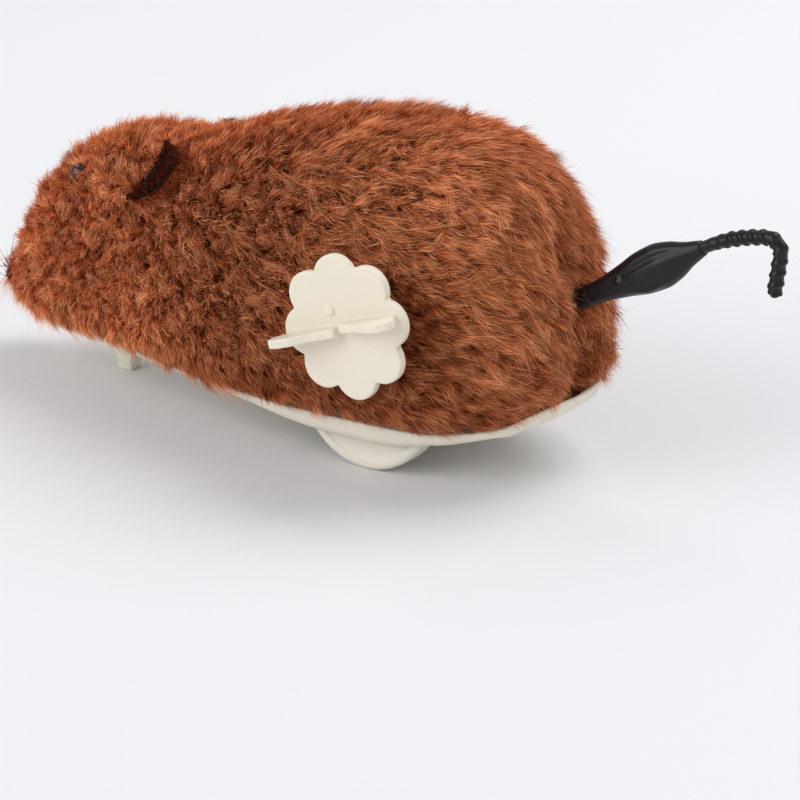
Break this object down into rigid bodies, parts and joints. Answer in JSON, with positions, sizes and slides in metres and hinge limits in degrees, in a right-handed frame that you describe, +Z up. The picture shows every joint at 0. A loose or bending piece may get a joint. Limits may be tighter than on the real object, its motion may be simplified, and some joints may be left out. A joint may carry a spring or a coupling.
{
  "type": "clockwork mouse",
  "caption": "Plush-covered wind-up mouse: side knob winds a spring motor that turns two rear wheels and a spinning hooked tail, with a fixed peg foot in front.",
  "frame": {"origin": "middle of the front foot's flat sole, on the ground", "axes": "+Z up, -Y towards the nose, +X towards the winding knob, the mouse's left side"},
  "size_m": [0.057, 0.1583, 0.057],
  "materials": {
    "fur": "long-pile plush, chestnut with paler tips",
    "ear_felt": "soft felt",
    "bead_black": "gloss",
    "shell_plastic": "matte",
    "cream_plastic": "satin moulded",
    "knob_plastic": "satin moulded",
    "wheel_plastic": "satin moulded",
    "motor_nylon": "natural nylon",
    "steel": "drawn wire",
    "spring_steel": "blued strip",
    "brass": "turned",
    "tail_black": "semi-gloss flexible"
  },
  "bodies": {
    "chassis": {"fur_cover": "fur", "ear_left": "ear_felt", "ear_right": "ear_felt", "eye_left": "bead_black", "eye_right": "bead_black", "nose": "bead_black", "body_shell": "shell_plastic", "base": "cream_plastic", "base_screws": "steel", "motor_plate_left": "motor_nylon", "motor_plate_right": "motor_nylon", "frame_pillars": "steel", "mounting_bars": "motor_nylon", "motor_screws": "steel", "mainspring": "spring_steel", "idler_pin": "steel", "tail_bearing": "motor_nylon"},
    "axle": {"rear_axle": "steel", "axle_pinion": "brass", "crown_gear": "motor_nylon", "drive_wheel_left": "wheel_plastic", "drive_wheel_right": "wheel_plastic"},
    "winder": {"winding_knob": "knob_plastic", "winding_arbor": "steel", "ratchet_wheel": "brass"},
    "great_wheel": {"great_gear": "motor_nylon"},
    "idler": {"idler_gear": "motor_nylon"},
    "tail": {"tail_shaft": "steel", "tail_pinion": "brass", "tail_sleeve": "tail_black", "tail_whip": "tail_black"}
  },
  "joints": [
    {"name": "axle_turn", "type": "hinge", "parent": "chassis", "child": "axle", "pos_m": [0, 0.062, 0.013], "axis": [1, 0, 0], "continuous": true},
    {"name": "key_turn", "type": "hinge", "parent": "chassis", "child": "winder", "pos_m": [0, 0.0669, 0.029], "axis": [1, 0, 0], "continuous": true},
    {"name": "great_gear_turn", "type": "hinge", "parent": "chassis", "child": "great_wheel", "pos_m": [0, 0.0669, 0.029], "axis": [1, 0, 0], "continuous": true},
    {"name": "idler_turn", "type": "hinge", "parent": "chassis", "child": "idler", "pos_m": [0, 0.05806, 0.02164], "axis": [1, 0, 0], "continuous": true},
    {"name": "tail_spin", "type": "hinge", "parent": "chassis", "child": "tail", "pos_m": [0, 0.062, 0.013], "axis": [0, 0.866, 0.5], "continuous": true}
  ],
  "couplings": [
    {"joint": "key_turn", "follows": "axle_turn", "ratio": 0.099206},
    {"joint": "great_gear_turn", "follows": "axle_turn", "ratio": 0.099206},
    {"joint": "idler_turn", "follows": "axle_turn", "ratio": -0.35714},
    {"joint": "tail_spin", "follows": "axle_turn", "ratio": 2.2}
  ]
}
